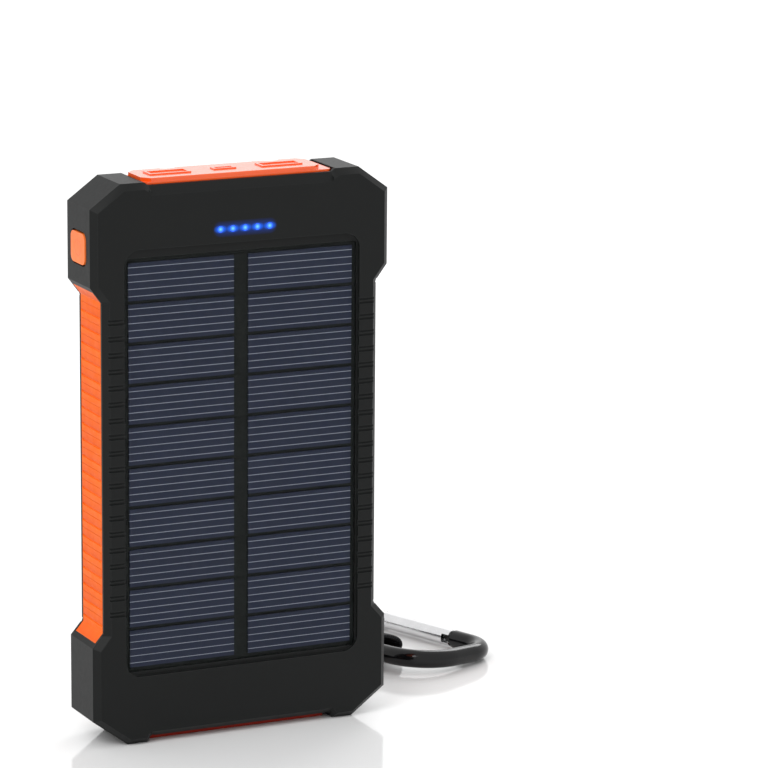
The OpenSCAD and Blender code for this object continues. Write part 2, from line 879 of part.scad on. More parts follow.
// Hanging strap, hinged where it leaves the slot, with a loop for the ring
module ring_strap() {
    color("#3a3a3a") translate([strap_x + strap_w / 2, 0, 0]) rotate([90, 0, -90]) linear_extrude(strap_w)
        difference() {
            union() {
                translate([-strap_hinge_y, strap_hinge_z]) circle(strap_t / 2);
                translate([-strap_hinge_y - strap_t / 2, ring_z]) square([strap_t, strap_hinge_z - ring_z]);
                translate([-loop_y, ring_z]) circle(loop_r);
            }
            translate([-loop_y, ring_z]) circle(loop_bore_r);
        }
}

// Move a shape drawn in the chain's frame into place
module on_chain() {
    translate([strap_x, ring_y, 0]) rotate([0, 0, chain_turn]) children();
}

// Round wire bent to a D: a half circle, two short legs, two tight bends and the bar
module d_ring() {
    bend_s = ring_bar_s - ring_corner;
    bend_q = ring_r - ring_corner;
    color("#d8d2c4") on_chain() translate([0, 0, ring_z]) {
        rotate([0, 0, 90]) wire_arc(ring_r, 180);
        for (s = [-1, 1]) {
            translate([0, s * ring_r, 0]) rotate([0, 90, 0]) cylinder(r = ring_wire / 2, h = bend_s);
            translate([bend_s, s * bend_q, 0]) rotate([0, 0, s > 0 ? 0 : 270]) wire_arc(ring_corner, 90);
        }
        translate([ring_bar_s, bend_q, 0]) rotate([90, 0, 0]) cylinder(r = ring_wire / 2, h = 2 * bend_q);
    }
}

module wire_arc(r, turn) {
    rotate_extrude(angle = turn, $fn = 96) translate([r, 0]) circle(ring_wire / 2);
}

// ---------- compass and webbing ----------

// Side view of a strip along the chain, extruded to its width
module across_chain(w) {
    on_chain() translate([0, w / 2, 0]) rotate([90, 0, 0]) linear_extrude(w) children();
}

// Folded backing under the compass, sewn round the ring's bar
module compass_backing() {
    color("#2a2a2e") {
        across_chain(bar_loop_w) difference() {
            union() {
                translate([ring_bar_s, ring_z]) circle(bar_loop_r);
                translate([ring_bar_s, backing_low_z]) square([3, plate_low_z - backing_low_z]);
            }
            translate([ring_bar_s, ring_z]) circle(bar_loop_bore_r);
        }
        across_chain(backing_w) translate([plate_near_s + 0.3, backing_low_z])
            square([plate_side - 0.6, plate_low_z - backing_low_z]);
    }
}

// Webbing: from the backing to a loose loop round the spine of the hook
module webbing() {
    loop_end_s = spine_s + loop_reach;
    color("#1c1c1c") across_chain(webbing_w) difference() {
        union() {
            polygon([
                [webbing_start_s, backing_low_z], [webbing_split_s, backing_low_z],
                [spine_s, spine_z - spine_loop_r], [spine_s, spine_z + spine_loop_r],
                [webbing_split_s, plate_low_z], [webbing_start_s, plate_low_z]
            ]);
            translate([spine_s, spine_z - spine_loop_r]) square([loop_reach, 2 * spine_loop_r]);
            translate([loop_end_s, spine_z]) circle(spine_loop_r);
        }
        translate([spine_s, spine_z]) circle(spine_loop_bore_r);
        translate([spine_s, spine_z - spine_loop_bore_r]) square([loop_reach, 2 * spine_loop_bore_r]);
        translate([loop_end_s, spine_z]) circle(spine_loop_bore_r);
    }
}

// Place a shape at the middle of the compass
module at_compass(z) {
    on_chain() translate([compass_s, 0, z]) children();
}

module compass_plate() {
    half = plate_side / 2;
    color("#232323") at_compass(plate_low_z) linear_extrude(plate_t) lid_outline(-half, half, half, 3);
}

// Ring with a toothed edge for grip
module compass_rim() {
    teeth = 36;
    color("#1a1a1a") at_compass(plate_top_z) linear_extrude(compass_rim_h) difference() {
        polygon([
            for (i = [0:2 * teeth - 1])
                let(r = i % 2 == 0 ? compass_r : compass_r - 0.35)
                [r * cos(i * 180 / teeth), r * sin(i * 180 / teeth)]
        ]);
        circle(compass_rim_in);
    }
}

module compass_bezel() {
    inner_r = dome_skirt_r - 0.5;
    color("silver") at_compass(plate_top_z + compass_rim_h) rotate_extrude($fn = 96)
        polygon([[inner_r, 0], [compass_r - 1, 0], [compass_r - 1.3, 0.5], [inner_r, 0.5]]);
}

// Clear capsule: a skirt inside the rim and a shallow dome
module compass_dome() {
    cap_base_r = dome_skirt_r - 0.6;
    cap_r = (cap_base_r * cap_base_r + dome_rise * dome_rise) / (2 * dome_rise);
    color("#dfeaf0", 0.35) at_compass(plate_top_z) rotate_extrude($fn = 96) {
        translate([dome_skirt_r - dome_wall, 0]) square([dome_wall, compass_rim_h]);
        translate([0, compass_rim_h - eps]) intersection() {
            difference() {
                translate([0, dome_rise - cap_r]) circle(cap_r);
                translate([0, dome_rise - cap_r]) circle(cap_r - dome_wall);
            }
            square([cap_base_r + 0.05, 2 * dome_rise]);
        }
    }
}

module compass_pivot() {
    color("#c8a040") at_compass(plate_top_z) cylinder(r = pivot_r, h = card_z + card_t + 0.2 - plate_top_z);
}

module compass_card() {
    color("#1f5a3a") at_compass(card_z) difference() {
        cylinder(r = card_r, h = card_t);
        translate([0, 0, -margin]) cylinder(r = pivot_r + 0.1, h = 3);
    }
}

module card_magnets() {
    color("#505050") at_compass(card_z - 0.7) for (s = [-1, 1])
        translate([0, 2.2 * s, 0.35]) cube([9, 1.4, 0.7], center = true);
}

module card_jewel() {
    color("#c8a040") at_compass(card_z + card_t) difference() {
        cylinder(r = 1.5, h = 0.7);
        translate([0, 0, -eps]) cylinder(r = pivot_r + 0.1, h = 0.35);
    }
}

// ---------- snap hook ----------

// Move a shape drawn in the hook's plane into place: X from spine to gate, Y along the spine
module on_hook() {
    on_chain() translate([spine_s, 0, spine_z]) rotate([0, hook_tilt, 0]) children();
}

// Quarter bend of the rod, centred at [p, q], starting at the angle start
module rod_bend(p, q, r, start) {
    translate([p, q, 0]) rotate([0, 0, start]) rotate_extrude(angle = 90, $fn = 96)
        translate([r, 0]) circle(hook_r);
}

// Straight rod in the hook's plane, from one centre-line point to another along X or Y
module rod_between(a, b) {
    run = b - a;
    translate([a.x, a.y, 0]) rotate([0, 90, atan2(run.y, run.x)]) cylinder(r = hook_r, h = norm(run));
}

module hook_frame() {
    hinge_shoulder_q = gate_pin_q + 2.3;
    nose_q = gate_end_q - 0.6;
    color("#1e1e1e") on_hook() difference() {
        union() {
            rod_between([0, spine_bend - hook_q], [0, hook_q - spine_bend]);
            for (s = [-1, 1]) rod_between([spine_bend, s * hook_q], [hook_p - gate_bend, s * hook_q]);
            rod_bend(spine_bend, hook_q - spine_bend, spine_bend, 90);
            rod_bend(spine_bend, spine_bend - hook_q, spine_bend, 180);
            rod_bend(hook_p - gate_bend, hook_q - gate_bend, gate_bend, 0);
            rod_bend(hook_p - gate_bend, gate_bend - hook_q, gate_bend, 270);
            rod_between([hook_p, hook_q - gate_bend], [hook_p, hinge_shoulder_q]);
            rod_between([hook_p, gate_bend - hook_q], [hook_p, nose_q]);
            // flat tongue inside the gate's fork, and the nose key
            translate([hook_p, gate_pin_q, -tongue_t / 2]) cylinder(r = tongue_r, h = tongue_t);
            span([hook_p - tongue_r, gate_pin_q, -tongue_t / 2],
                 [hook_p + tongue_r, hinge_shoulder_q + eps, tongue_t / 2]);
            span([hook_p - 1.2, nose_q - eps, -1], [hook_p + 1.2, nose_q + 2.4, 1]);
        }
        translate([hook_p, gate_pin_q, -margin - tongue_t]) cylinder(r = gate_pin_r, h = 4 * tongue_t);
    }
}

module gate_pin() {
    color("#c0c0c0") on_hook() translate([hook_p, gate_pin_q, -gate_r])
        cylinder(r = gate_pin_r, h = 2 * gate_r);
}

module hook_gate() {
    color("#d0d0d0") on_hook() difference() {
        union() {
            translate([hook_p, gate_pin_q, 0]) rotate([90, 0, 0])
                cylinder(r = gate_r, h = gate_pin_q - gate_end_q);
            // round fork end about the pin
            intersection() {
                translate([hook_p, gate_pin_q, -gate_r]) cylinder(r = 2, h = 2 * gate_r);
                translate([hook_p, gate_pin_q + 3, 0]) rotate([90, 0, 0]) cylinder(r = gate_r, h = 6);
            }
        }
        // slot of the fork
        translate([hook_p, gate_pin_q + 1.3, 0]) cube([8, 7.4, tongue_t + 0.3], center = true);
        // slot for the nose key
        translate([hook_p, gate_end_q, 0]) cube([8, 4.8, 2.3], center = true);
        translate([hook_p, gate_pin_q, -4]) cylinder(r = gate_pin_r + 0.05, h = 8);
        // blind bore of the spring
        translate([hook_p, gate_pin_q - 2, 0]) rotate([90, 0, 0]) cylinder(r = 0.9, h = 12);
    }
}

module gate_spring() {
    color("silver") on_hook() translate([hook_p, gate_pin_q - 2.7, 0]) rotate([90, 0, 0])
        cylinder(r = 0.8, h = 11);
}

front_shell();
back_shell();
shell_seal();
left_grip();
right_grip();
bottom_bumper();
solar_board();
solar_cells();
solar_film();
light_pipes();
charge_lights();
light_board();
main_board();
board_components();
usb_port_left();
usb_port_right();
usb_tongues();
micro_usb_port();
button_switch();
battery_cell();
foam_pads();
battery_leads();
solar_leads();
torch_board();
torch_leds();
torch_reflector();
torch_lens();
rating_label();
screws();
screw_plugs();
strap_bar();
strap_root();
power_button();
usb_cover();
ring_strap();
d_ring();
compass_backing();
compass_plate();
compass_rim();
compass_bezel();
compass_dome();
compass_pivot();
webbing();
compass_card();
card_magnets();
card_jewel();
hook_frame();
gate_pin();
hook_gate();
gate_spring();
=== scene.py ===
"""Looks of a pocket solar charger with a compass key chain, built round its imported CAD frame."""

import math

import bmesh
import bpy
from mathutils import Matrix, Vector, noise


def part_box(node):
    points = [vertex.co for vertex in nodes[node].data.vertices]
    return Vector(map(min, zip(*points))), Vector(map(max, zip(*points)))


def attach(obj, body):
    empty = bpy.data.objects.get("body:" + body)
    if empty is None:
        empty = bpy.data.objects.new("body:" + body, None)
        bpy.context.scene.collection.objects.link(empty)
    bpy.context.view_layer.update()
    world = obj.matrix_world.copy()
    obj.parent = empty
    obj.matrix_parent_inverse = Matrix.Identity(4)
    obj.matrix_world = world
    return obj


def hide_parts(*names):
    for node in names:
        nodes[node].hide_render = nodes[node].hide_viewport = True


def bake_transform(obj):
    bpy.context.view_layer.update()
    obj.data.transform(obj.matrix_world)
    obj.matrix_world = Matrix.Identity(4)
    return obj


MM = 0.001
WHITE = (1.0, 1.0, 1.0)

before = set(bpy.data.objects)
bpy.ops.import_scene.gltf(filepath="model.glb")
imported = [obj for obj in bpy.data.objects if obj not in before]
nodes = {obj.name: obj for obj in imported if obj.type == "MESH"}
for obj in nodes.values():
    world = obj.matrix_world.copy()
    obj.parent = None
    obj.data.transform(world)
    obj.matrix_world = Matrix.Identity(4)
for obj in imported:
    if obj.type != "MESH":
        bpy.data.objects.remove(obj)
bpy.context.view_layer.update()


# ---------- camera ----------

# degrees round from the front, up from level, and about the line of sight
CAMERA_AZIMUTH = -25.66
CAMERA_ELEVATION = 12.69
CAMERA_ROLL = 0.42
CAMERA_DISTANCE = 1109.2 * MM
CAMERA_LENS = 207.5
AIM_HEIGHT = 71 * MM
# the object stands left of the picture's middle
AIM_RIGHT = 38.5 * MM
AIM_UP = 16.5 * MM


def add_camera():
    """A long lens in front, a little above and to the left of the case."""
    azimuth = math.radians(CAMERA_AZIMUTH)
    elevation = math.radians(CAMERA_ELEVATION)
    roll = math.radians(CAMERA_ROLL)
    outwards = Vector((math.sin(azimuth), -math.cos(azimuth), 0))
    back = math.cos(elevation) * outwards + Vector((0, 0, math.sin(elevation)))
    level = Vector((math.cos(azimuth), math.sin(azimuth), 0))
    upright = back.cross(level)
    right = math.cos(roll) * level + math.sin(roll) * upright
    up = math.cos(roll) * upright - math.sin(roll) * level
    place = Vector((0, 0, AIM_HEIGHT)) + CAMERA_DISTANCE * back + AIM_RIGHT * right + AIM_UP * up
    data = bpy.data.cameras.new("Camera")
    data.lens = CAMERA_LENS
    data.clip_start = 0.05
    camera = bpy.data.objects.new("Camera", data)
    turn = Matrix((right, up, back)).transposed().to_4x4()
    camera.matrix_world = Matrix.Translation(place) @ turn
    bpy.context.scene.collection.objects.link(camera)
    bpy.context.scene.camera = camera


# ---------- node helpers ----------


class Shader:
    """A Principled material and short calls that add nodes to it."""

    def __init__(self, name, color, roughness, metallic=0.0, specular=0.5):
        self.material = bpy.data.materials.new(name)
        self.material.use_nodes = True
        self.tree = self.material.node_tree
        self.main = self.tree.nodes["Principled BSDF"]
        self.set("Base Color", (*color, 1))
        self.set("Roughness", roughness)
        self.set("Metallic", metallic)
        self.set("Specular IOR Level", specular)
        coordinates = self.add("ShaderNodeTexCoord")
        self.place = coordinates.outputs["Object"]
        self.uv = coordinates.outputs["UV"]

    def add(self, kind, **settings):
        node = self.tree.nodes.new(kind)
        for key, value in settings.items():
            setattr(node, key, value)
        return node

    def put(self, socket, value):
        """Give a socket a plain value, or join it to another node's output."""
        if isinstance(value, bpy.types.NodeSocket):
            self.tree.links.new(value, socket)
        else:
            socket.default_value = value

    def set(self, name, value):
        self.put(self.main.inputs[name], value)

    def math(self, operation, a, b=0.0, clamp=False):
        node = self.add("ShaderNodeMath", operation=operation, use_clamp=clamp)
        self.put(node.inputs[0], a)
        self.put(node.inputs[1], b)
        return node.outputs[0]

    def root_of_squares(self, a, b):
        """The length of the long side over two short sides a and b."""
        squares = [self.math("POWER", side, 2.0) for side in (a, b)]
        return self.math("SQRT", self.math("ADD", *squares))

    def uneven_gloss(self, size, detail, shiny, dull):
        """Roughness that drifts between two values in blobs size metres across."""
        return self.ramp(self.noise(size, detail), (0.3, shiny), (0.7, dull))

    def split(self, vector=None):
        """The three parts of a vector, of the place in the object's frame by default."""
        node = self.add("ShaderNodeSeparateXYZ")
        self.put(node.inputs[0], vector or self.place)
        return node.outputs

    def join(self, x, y, z):
        node = self.add("ShaderNodeCombineXYZ")
        for socket, value in zip(node.inputs, (x, y, z)):
            self.put(socket, value)
        return node.outputs[0]

    def noise(self, size, detail=2.0, place=None):
        """A cloudy pattern from 0 to 1 with blobs size metres across."""
        node = self.add("ShaderNodeTexNoise")
        self.put(node.inputs["Vector"], place or self.place)
        node.inputs["Scale"].default_value = 1 / size
        node.inputs["Detail"].default_value = detail
        return node.outputs[0]

    def ramp(self, value, *stops):
        """A smooth run of grey levels or colours over a value, from (place, level) stops."""
        node = self.add("ShaderNodeValToRGB")
        self.put(node.inputs[0], value)
        elements = node.color_ramp.elements
        while len(elements) < len(stops):
            elements.new(0.5)
        for element, (position, level) in zip(elements, stops):
            element.position = position
            element.color = (*level, 1) if hasattr(level, "__len__") else (level, level, level, 1)
        return node.outputs[0]

    def mix(self, share, a, b):
        """Colour a where share is 0, and b where it is 1."""
        node = self.add("ShaderNodeMix", data_type="RGBA")
        self.put(node.inputs[0], share)
        for socket, color in ((node.inputs[6], a), (node.inputs[7], b)):
            self.put(socket, color if isinstance(color, bpy.types.NodeSocket) else (*color, 1))
        return node.outputs[2]

    def bump(self, height, depth):
        """Raise the surface by depth metres where height is 1."""
        node = self.add("ShaderNodeBump")
        node.inputs["Distance"].default_value = depth
        self.put(node.inputs["Height"], height)
        self.set("Normal", node.outputs[0])

    def worn_edges(self, radius, color, tint, strength=1.0):
        """Colour with a thin lighter line along each convex edge, where handling polishes it."""
        rounded = self.add("ShaderNodeBevel", samples=6)
        rounded.inputs["Radius"].default_value = radius
        flat = self.add("ShaderNodeNewGeometry").outputs["Normal"]
        dot = self.add("ShaderNodeVectorMath", operation="DOT_PRODUCT")
        self.put(dot.inputs[0], rounded.outputs[0])
        self.put(dot.inputs[1], flat)
        edge = self.math("SUBTRACT", 1.0, dot.outputs["Value"])
        share = self.math("MULTIPLY", edge, strength, clamp=True)
        return self.mix(share, color, tint)


# ---------- plastics and rubbers ----------

CASE_DARK = (0.0052, 0.0058, 0.0057)
CASE_LIGHT = (0.0068, 0.0076, 0.0074)
CASE_WORN = (0.03, 0.034, 0.033)
ORANGE = (0.9, 0.125, 0.002)
ORANGE_LIGHT = (1.0, 0.19, 0.006)
ORANGE_WORN = (1.0, 0.3, 0.09)
UNLIT = (0.0, 0.0, 0.0)
LIGHT_COUNT = 5
LIGHT_HAZE_REACH = 2.6      # in light pipe radii
FACE_SKIN = 0.05 * MM       # how far behind the front face the light's glow may lie
TORCH_GLOW_REACH = 14 * MM
GRIP_RIB_LOW = 31 * MM
RIB_PITCH = 4.1 * MM
# colour of the painted shade on the grip's ribs
GRIP_SHADE = (0.72, 0.068, 0.001)


def case_plastic(name):
    """Near-black satin plastic with a fine spark-eroded grain."""
    s = Shader(name, CASE_DARK, 0.5, specular=0.19)
    clouds = s.noise(14 * MM, 2)
    grain = s.noise(0.16 * MM, 1)
    base = s.mix(clouds, CASE_DARK, CASE_LIGHT)
    s.set("Base Color", s.worn_edges(0.35 * MM, base, CASE_WORN, 1.6))
    s.set("Roughness", s.uneven_gloss(1.1 * MM, 3, 0.45, 0.49))
    s.bump(grain, 0.006 * MM)
    return s


def light_offsets(s):
    """Sideways and upward distance from the nearest charge light's middle."""
    low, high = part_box("light_pipes")
    radius = (high.z - low.z) / 2
    pitch = (high.x - low.x - 2 * radius) / (LIGHT_COUNT - 1)
    x, _, z = s.split()
    steps = s.math("DIVIDE", s.math("SUBTRACT", x, low.x + radius), pitch)
    nearest = s.math("MINIMUM", s.math("MAXIMUM", s.math("ROUND", steps), 0.0), LIGHT_COUNT - 1.0)
    off_x = s.math("MULTIPLY", s.math("SUBTRACT", steps, nearest), pitch)
    return off_x, s.math("SUBTRACT", z, (low.z + high.z) / 2)


def front_plastic():
    """Case plastic with a faint painted blue glow where the charge lights would shine into it."""
    s = case_plastic("front_case_plastic_painted_glow")
    low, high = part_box("light_pipes")
    radius = (high.z - low.z) / 2
    middle = (low + high) / 2
    half = (high.x - low.x) / 2 - radius
    x, y, z = s.split()
    along = s.math("SUBTRACT", s.math("ABSOLUTE", s.math("SUBTRACT", x, middle.x)), half)
    along = s.math("MAXIMUM", along, 0.0)
    across = s.math("SUBTRACT", z, middle.z)
    distance = s.root_of_squares(along, across)
    reach = s.math("DIVIDE", distance, LIGHT_HAZE_REACH * radius)
    haze = s.ramp(reach, (0.0, (0.0, 0.03, 0.28)), (0.45, (0.0, 0.014, 0.12)), (1.0, UNLIT))
    off_x, off_z = light_offsets(s)
    # each light's own painted spill is an oval, wider than it is high
    off_x = s.math("MULTIPLY", off_x, 0.6)
    oval = s.root_of_squares(off_x, off_z)
    spill = s.ramp(s.math("DIVIDE", oval, 2 * radius), (0.3, (0.0, 0.1, 0.7)), (0.7, UNLIT))
    both = s.add("ShaderNodeVectorMath", operation="ADD")
    s.put(both.inputs[0], haze)
    s.put(both.inputs[1], spill)
    glow = both.outputs[0]
    at_front = s.math("LESS_THAN", y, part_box("front_shell")[0].y + FACE_SKIN)
    # painted glow: the haze and spill are emission on the case's front face, standing in for the
    # lights' light in the plastic
    s.set("Emission Color", s.mix(at_front, UNLIT, glow))
    s.main.inputs["Emission Strength"].default_value = 1.0
    return s.material


def back_plastic():
    """Case plastic with a faint painted glow round the lit torch."""
    s = case_plastic("back_case_plastic_painted_glow")
    low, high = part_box("torch_lens")
    x, y, z = s.split()
    outside = []
    for part, near, far in ((x, low.x, high.x), (z, low.z, high.z)):
        off_middle = s.math("ABSOLUTE", s.math("SUBTRACT", part, (near + far) / 2))
        outside.append(s.math("MAXIMUM", s.math("SUBTRACT", off_middle, (far - near) / 2), 0.0))
    reach = s.math("DIVIDE", s.root_of_squares(*outside), TORCH_GLOW_REACH)
    glow = s.ramp(reach, (0.0, 0.11), (0.3, 0.028), (1.0, 0.0))
    at_back = s.math("GREATER_THAN", y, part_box("rating_label")[1].y)
    # painted glow: emission on the back face, brightest at the lens edge and gone by
    # TORCH_GLOW_REACH
    s.set("Emission Color", s.mix(at_back, UNLIT, glow))
    s.main.inputs["Emission Strength"].default_value = 1.0
    return s.material


def ribbed_rubber():
    """Orange grip rubber with painted rib shade, palest just under each deep groove and deeper
    towards the next.
    """
    s = Shader("orange_grip_rubber_painted_rib_shade", ORANGE, 0.42, specular=0.12)
    _, _, z = s.split()
    ribs = s.math("DIVIDE", s.math("SUBTRACT", z, GRIP_RIB_LOW), RIB_PITCH)
    rise = s.math("FRACT", ribs)
    cloud = s.mix(s.noise(6 * MM, 3), ORANGE, ORANGE_LIGHT)
    shade_unevenness = s.math("ADD", 0.5, s.math("MULTIPLY", s.noise(1.3 * MM, 3), 0.5))
    # painted shade: darkest just above each groove, fading to none just under the next, made uneven
    # by noise
    shade = s.math("MULTIPLY", s.math("SUBTRACT", 1.0, rise), shade_unevenness)
    base = s.mix(s.math("MULTIPLY", shade, 0.75), cloud, GRIP_SHADE)
    s.set("Base Color", s.worn_edges(0.3 * MM, base, ORANGE_WORN, 0.8))
    s.set("Roughness", s.uneven_gloss(1.8 * MM, 3, 0.36, 0.5))
    s.bump(s.noise(0.25 * MM, 2), 0.01 * MM)
    return s.material


def orange_rubber(name, dark=ORANGE, light=ORANGE_LIGHT, roughness=0.42, specular=0.25):
    """Satin orange moulding with a soft grain and paler edges."""
    s = Shader(name, dark, roughness, specular=specular)
    base = s.mix(s.noise(7 * MM, 3), dark, light)
    s.set("Base Color", s.worn_edges(0.3 * MM, base, ORANGE_WORN, 0.8))
    s.set("Roughness", s.uneven_gloss(1.8 * MM, 3, roughness - 0.06, roughness + 0.08))
    s.bump(s.noise(0.25 * MM, 2), 0.01 * MM)
    return s.material


def cover_rubber():
    """Red-orange cover with a clear gloss that pales it at a slant."""
    s = Shader("orange_cover_rubber", (0.9, 0.085, 0.003), 0.4, specular=0.1)
    base = s.mix(s.noise(7 * MM, 3), (0.9, 0.08, 0.002), (0.97, 0.12, 0.006))
    s.set("Base Color", s.worn_edges(0.3 * MM, base, ORANGE_WORN, 0.6))
    s.set("Roughness", s.uneven_gloss(1.8 * MM, 3, 0.36, 0.48))
    s.main.inputs["Coat Weight"].default_value = 1.0
    s.main.inputs["Coat Roughness"].default_value = 0.12
    s.main.inputs["Coat IOR"].default_value = 1.6
    s.bump(s.noise(0.25 * MM, 2), 0.004 * MM)
    return s.material


def button_plastic():
    """Orange button cap with a faint moulded power mark: a ring, open at the top, and a bar."""
    s = Shader("orange_button_plastic", ORANGE, 0.34, specular=0.3)
    low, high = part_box("power_button")
    _, y, z = s.split()
    across = s.math("SUBTRACT", y, (low.y + high.y) / 2)
    up = s.math("SUBTRACT", z, (low.z + high.z) / 2)
    distance = s.root_of_squares(across, up)
    sideways = s.math("ABSOLUTE", across)
    beside_gap = s.math("GREATER_THAN", sideways, 0.75 * MM)
    below_gap = s.math("LESS_THAN", up, 0.0)
    outside_gap = s.math("MAXIMUM", beside_gap, below_gap)
    ring = s.math("MULTIPLY", band(s, distance, 1.75 * MM, 2.15 * MM), outside_gap)
    near_middle = s.math("LESS_THAN", sideways, 0.2 * MM)
    bar = s.math("MULTIPLY", near_middle, band(s, up, 0.5 * MM, 2.3 * MM))
    mark = s.math("MAXIMUM", ring, bar)
    base = s.mix(s.noise(5 * MM, 3), (0.95, 0.17, 0.025), (1.0, 0.22, 0.04))
    base = s.mix(s.math("MULTIPLY", mark, 0.3), base, (0.75, 0.1, 0.01))
    s.set("Base Color", s.worn_edges(0.3 * MM, base, ORANGE_WORN, 0.8))
    s.set("Roughness", s.uneven_gloss(1.8 * MM, 3, 0.3, 0.42))
    s.bump(mark, 0.06 * MM)
    return s.material


def plain_plastic(name, color, roughness, speck=0.15, grain=0.3 * MM, coat=0.0, specular=0.5):
    """Moulded part with cloudy colour, uneven gloss and a light grain."""
    s = Shader(name, color, roughness, specular=specular)
    deeper = tuple(c * (1 - speck) for c in color)
    brighter = tuple(min(1.0, c * (1 + speck)) for c in color)
    s.set("Base Color", s.mix(s.noise(3 * MM, 3), deeper, brighter))
    dull = min(1.0, roughness * 1.15)
    s.set("Roughness", s.uneven_gloss(1.2 * MM, 3, roughness * 0.85, dull))
    s.main.inputs["Coat Weight"].default_value = coat
    s.bump(s.noise(grain, 2), 0.008 * MM)
    return s.material


def brushed_metal(name, color, roughness, along="x", depth=0.006 * MM):
    """Drawn or brushed metal: fine streaks along one axis."""
    s = Shader(name, color, roughness, 1.0)
    parts = list(s.split())
    axis = "xyz".index(along)
    parts[axis] = s.math("MULTIPLY", parts[axis], 0.04)
    streaks = s.noise(0.22 * MM, 3, s.join(*parts))
    darker = tuple(c * 0.86 for c in color)
    s.set("Base Color", s.mix(s.noise(4 * MM, 3), darker, color))
    s.set("Roughness", s.ramp(streaks, (0.3, roughness * 0.7), (0.7, roughness * 1.4)))
    s.bump(streaks, depth)
    return s.material


def polished_metal(name, color, roughness):
    """Bright plating with faint clouding and hairline scratches."""
    s = Shader(name, color, roughness, 1.0)
    duller = tuple(c * 0.82 for c in color)
    s.set("Base Color", s.mix(s.noise(2.5 * MM, 4), duller, color))
    s.set("Roughness", s.ramp(s.noise(0.5 * MM, 4), (0.35, roughness), (0.75, roughness * 2.2)))
    s.bump(s.noise(0.6 * MM, 3), 0.004 * MM)
    return s.material


# ---------- solar panel and lights ----------

CELL_ROWS = 10
FINGERS = 5                 # printed lines on each cell
FINGER_PITCH = 1.8 * MM
FINGER_WIDTH = 0.16 * MM
ROW_GAP = 0.9 * MM
FINGER_SILVER = (0.27, 0.28, 0.335)


def cell_material():
    """Blue-black silicon, a slightly different tint in each cell, with printed silver fingers."""
    s = Shader("solar_cell_silicon", (0.02, 0.024, 0.05), 0.3, specular=0.28)
    low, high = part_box("solar_cells")
    row_pitch = (high.z - low.z + ROW_GAP) / CELL_ROWS
    x, _, z = s.split()
    rows = s.math("DIVIDE", s.math("SUBTRACT", z, low.z), row_pitch)
    row = s.math("FLOOR", rows)
    column = s.math("GREATER_THAN", x, 0.0)
    tint = s.add("ShaderNodeTexWhiteNoise", noise_dimensions="2D")
    s.put(tint.inputs["Vector"], s.join(row, column, 0.0))
    dark = s.mix(tint.outputs["Value"], (0.0068, 0.0098, 0.0265), (0.0092, 0.0128, 0.0325))
    silicon = s.mix(s.noise(1.6 * MM, 4), dark, (0.0115, 0.016, 0.038))
    in_row = s.math("MULTIPLY", s.math("FRACT", rows), row_pitch)
    first = (row_pitch - ROW_GAP - (FINGERS - 1) * FINGER_PITCH) / 2
    phase = s.math("DIVIDE", s.math("SUBTRACT", in_row, first), FINGER_PITCH)
    in_pitch = s.math("FRACT", s.math("ADD", phase, 0.5))
    off_line = s.math("ABSOLUTE", s.math("SUBTRACT", in_pitch, 0.5))
    line = s.math("LESS_THAN", off_line, FINGER_WIDTH / 2 / FINGER_PITCH)
    above_first = s.math("GREATER_THAN", phase, -0.3)
    below_last = s.math("LESS_THAN", phase, FINGERS - 0.7)
    line = s.math("MULTIPLY", line, s.math("MULTIPLY", above_first, below_last))
    s.set("Base Color", s.mix(line, silicon, FINGER_SILVER))
    s.set("Roughness", s.uneven_gloss(1.5 * MM, 3, 0.34, 0.44))
    return s.material


def clear_cover(name, roughness, most, clear_below, tint=(0.97, 0.98, 0.98)):
    """Clear glossy film or dome: see-through face on, a mirror at a slant.

    Reflections weaker than clear_below are dropped. Facing treats both sides of the skin alike, so
    its inner face doesn't turn into a mirror as Fresnel would make it.
    """
    s = Shader(name, WHITE, roughness)
    tree = s.tree
    clear = s.add("ShaderNodeBsdfTransparent")
    clear.inputs["Color"].default_value = (*tint, 1)
    shine = s.add("ShaderNodeBsdfGlossy")
    s.put(shine.inputs["Roughness"], s.uneven_gloss(2 * MM, 3, roughness, roughness * 1.8))
    facing = s.add("ShaderNodeLayerWeight")
    facing.inputs["Blend"].default_value = 0.5
    slant = s.math("POWER", facing.outputs["Facing"], 3.0)
    share = s.math("MULTIPLY", s.math("SUBTRACT", slant, clear_below), most, clamp=True)
    both = s.add("ShaderNodeMixShader")
    s.put(both.inputs[0], share)
    tree.links.new(clear.outputs[0], both.inputs[1])
    tree.links.new(shine.outputs[0], both.inputs[2])
    output = tree.nodes["Material Output"]
    tree.links.new(both.outputs[0], output.inputs["Surface"])
    tree.nodes.remove(s.main)
    return s.material


def light_pipe_material():
    """Lit blue pipes, palest in the middle of each."""
    s = Shader("charge_light_blue", (0.02, 0.1, 0.8), 0.2)
    low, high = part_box("light_pipes")
    radius = (high.z - low.z) / 2
    off_x, off_z = light_offsets(s)
    distance = s.root_of_squares(off_x, off_z)
    glow = s.ramp(
        s.math("DIVIDE", distance, radius),
        (0.0, (0.16, 0.46, 1.0)),
        (0.4, (0.04, 0.24, 1.0)),
        (0.85, (0.0, 0.03, 0.4)),
    )
    s.set("Emission Color", glow)
    s.main.inputs["Emission Strength"].default_value = 1.6
    return s.material


TORCH_COLUMNS = 3
TORCH_ROWS = 2


